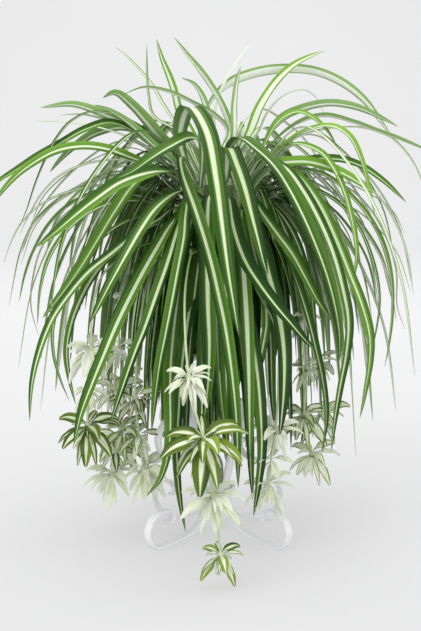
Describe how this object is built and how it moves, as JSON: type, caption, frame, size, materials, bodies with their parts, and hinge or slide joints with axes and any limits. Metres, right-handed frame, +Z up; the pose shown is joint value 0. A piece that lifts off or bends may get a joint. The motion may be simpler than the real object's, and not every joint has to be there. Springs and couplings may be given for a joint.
{
  "type": "potted spider plant",
  "caption": "Variegated spider plant with long arching strap leaves and hanging plantlets, in a plain pot on a white scrolled strip stand.",
  "frame": {"origin": "on the floor under the middle of the whole plant's box", "axes": "+Z up; the front of the plant, with the longest chain of plantlets, faces -Y; +X is to the right as seen from the front"},
  "size_m": [0.6372, 0.5974, 0.6937],
  "materials": {
    "leaf": "satin green strap leaves with a cream middle stripe",
    "plantlet": "pale cream-centred rosettes with olive edges on pale stolons",
    "white_paint": "smooth satin white paint",
    "pot": "matt beige",
    "soil": "dark brown crumbly filling"
  },
  "bodies": {
    "root": {"spray_crown": "leaf", "spray_front": "leaf", "spray_front_left": "leaf", "spray_left": "leaf", "spray_back_left": "leaf", "spray_back_right": "leaf", "spray_right": "leaf", "spray_front_right": "leaf", "runner_1": "plantlet", "runner_2": "plantlet", "runner_3": "plantlet", "runner_4": "plantlet", "runner_5": "plantlet", "runner_6": "plantlet", "runner_7": "plantlet", "runner_8": "plantlet", "runner_9": "plantlet", "leg_1": "white_paint", "leg_2": "white_paint", "leg_3": "white_paint", "leg_4": "white_paint", "side_scroll_1": "white_paint", "side_scroll_2": "white_paint", "side_scroll_3": "white_paint", "side_scroll_4": "white_paint", "stand_collar": "white_paint", "stand_tray": "white_paint", "pot": "pot", "soil": "soil"}
  },
  "joints": []
}
